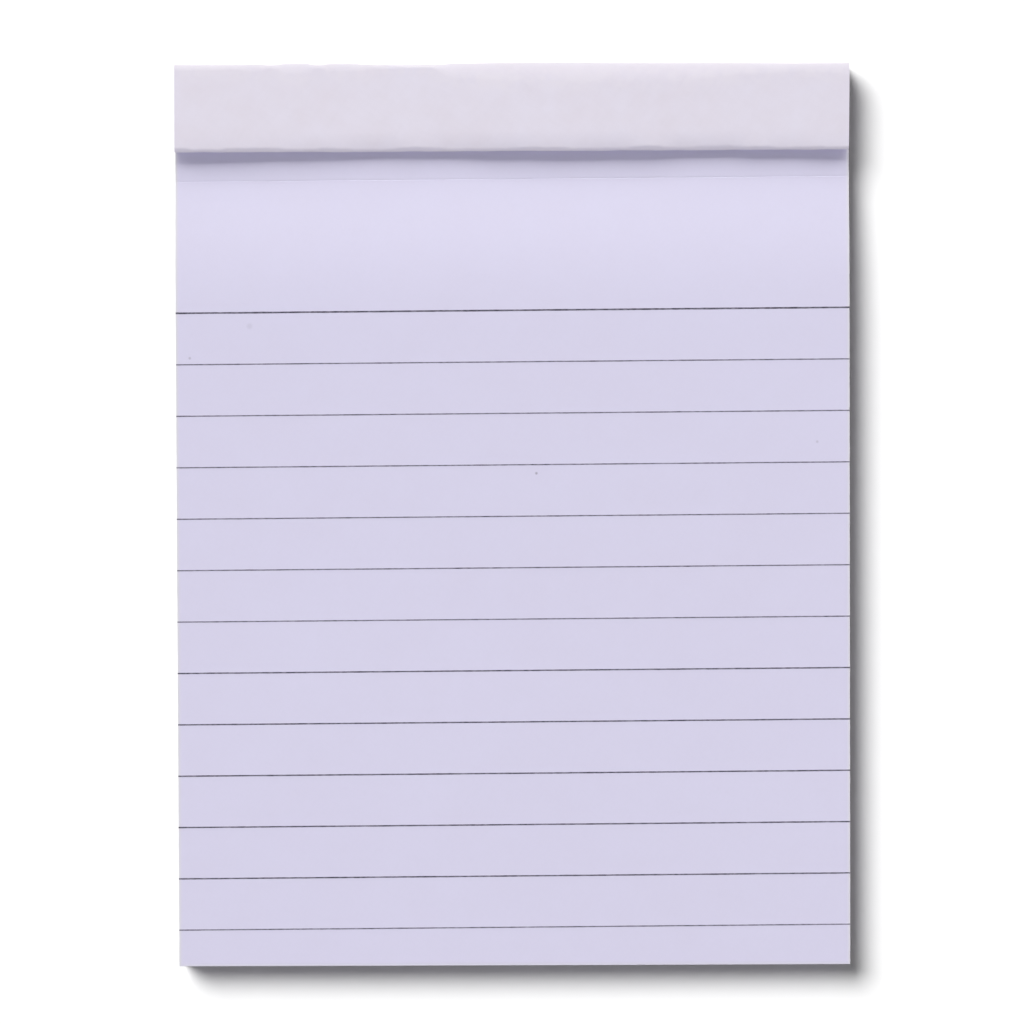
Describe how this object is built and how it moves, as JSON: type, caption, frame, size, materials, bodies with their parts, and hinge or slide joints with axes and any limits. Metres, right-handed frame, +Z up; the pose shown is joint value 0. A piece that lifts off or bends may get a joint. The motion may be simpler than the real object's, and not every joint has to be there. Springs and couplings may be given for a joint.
{
  "type": "legal pad",
  "caption": "Head-bound ruled writing pad: a block of pale lavender leaves on a stiff backing board, with a folded white paper binding strip along the head and a tear line below it.",
  "frame": {"origin": "middle of the pad's footprint, on the surface that it lies on", "axes": "+X to the right of the page, +Y towards the bound head, +Z up out of the page"},
  "size_m": [0.1142, 0.153, 0.0071],
  "materials": {
    "page_paper": "matte, uncoated, pale lavender",
    "ruling_ink": "matte dark grey ink printed on the leaf",
    "greyboard": "matte recycled board with flecks",
    "padding_gum": "satin, dried white glue",
    "strip_paper": "matte white paper with a faint lavender cast"
  },
  "bodies": {
    "root": {"page_block": "page_paper", "ruled_lines": "ruling_ink", "backing_board": "greyboard", "head_gum": "padding_gum", "binding_strip": "strip_paper"}
  },
  "joints": []
}
